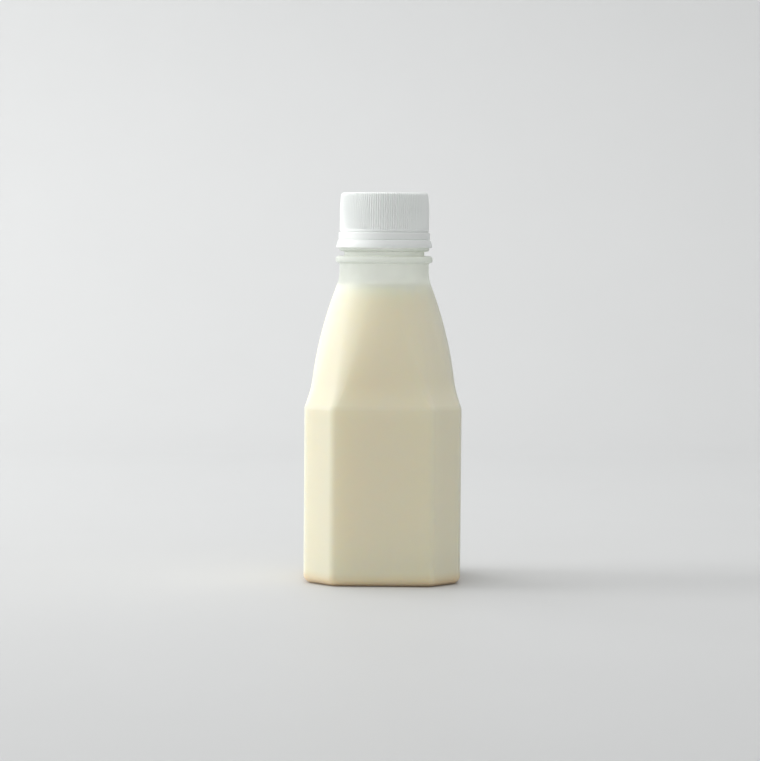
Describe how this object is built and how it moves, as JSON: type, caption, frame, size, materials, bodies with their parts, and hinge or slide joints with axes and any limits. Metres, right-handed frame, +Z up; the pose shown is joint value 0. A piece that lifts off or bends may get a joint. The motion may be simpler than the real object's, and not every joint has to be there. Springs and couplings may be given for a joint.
{
  "type": "soy milk bottle",
  "caption": "Small shut bottle of soy milk: square body with cut corners, long tapering shoulder, round neck with a support ring, ribbed white screw cap and tamper band.",
  "frame": {"origin": "middle of the foot, on the surface that the bottle stands on", "axes": "+Z up along the bottle's axis, from the foot to the cap; X and Y square to the four wide faces"},
  "size_m": [0.0522, 0.0522, 0.1303],
  "materials": {
    "bottle_plastic": "translucent satin polypropylene, as blow-moulded",
    "soy_milk": "opaque cream liquid",
    "cap_plastic": "satin white polyethylene, as moulded"
  },
  "bodies": {
    "root": {"bottle": "bottle_plastic", "soy_milk": "soy_milk", "cap": "cap_plastic", "tamper_band": "cap_plastic"}
  },
  "joints": []
}
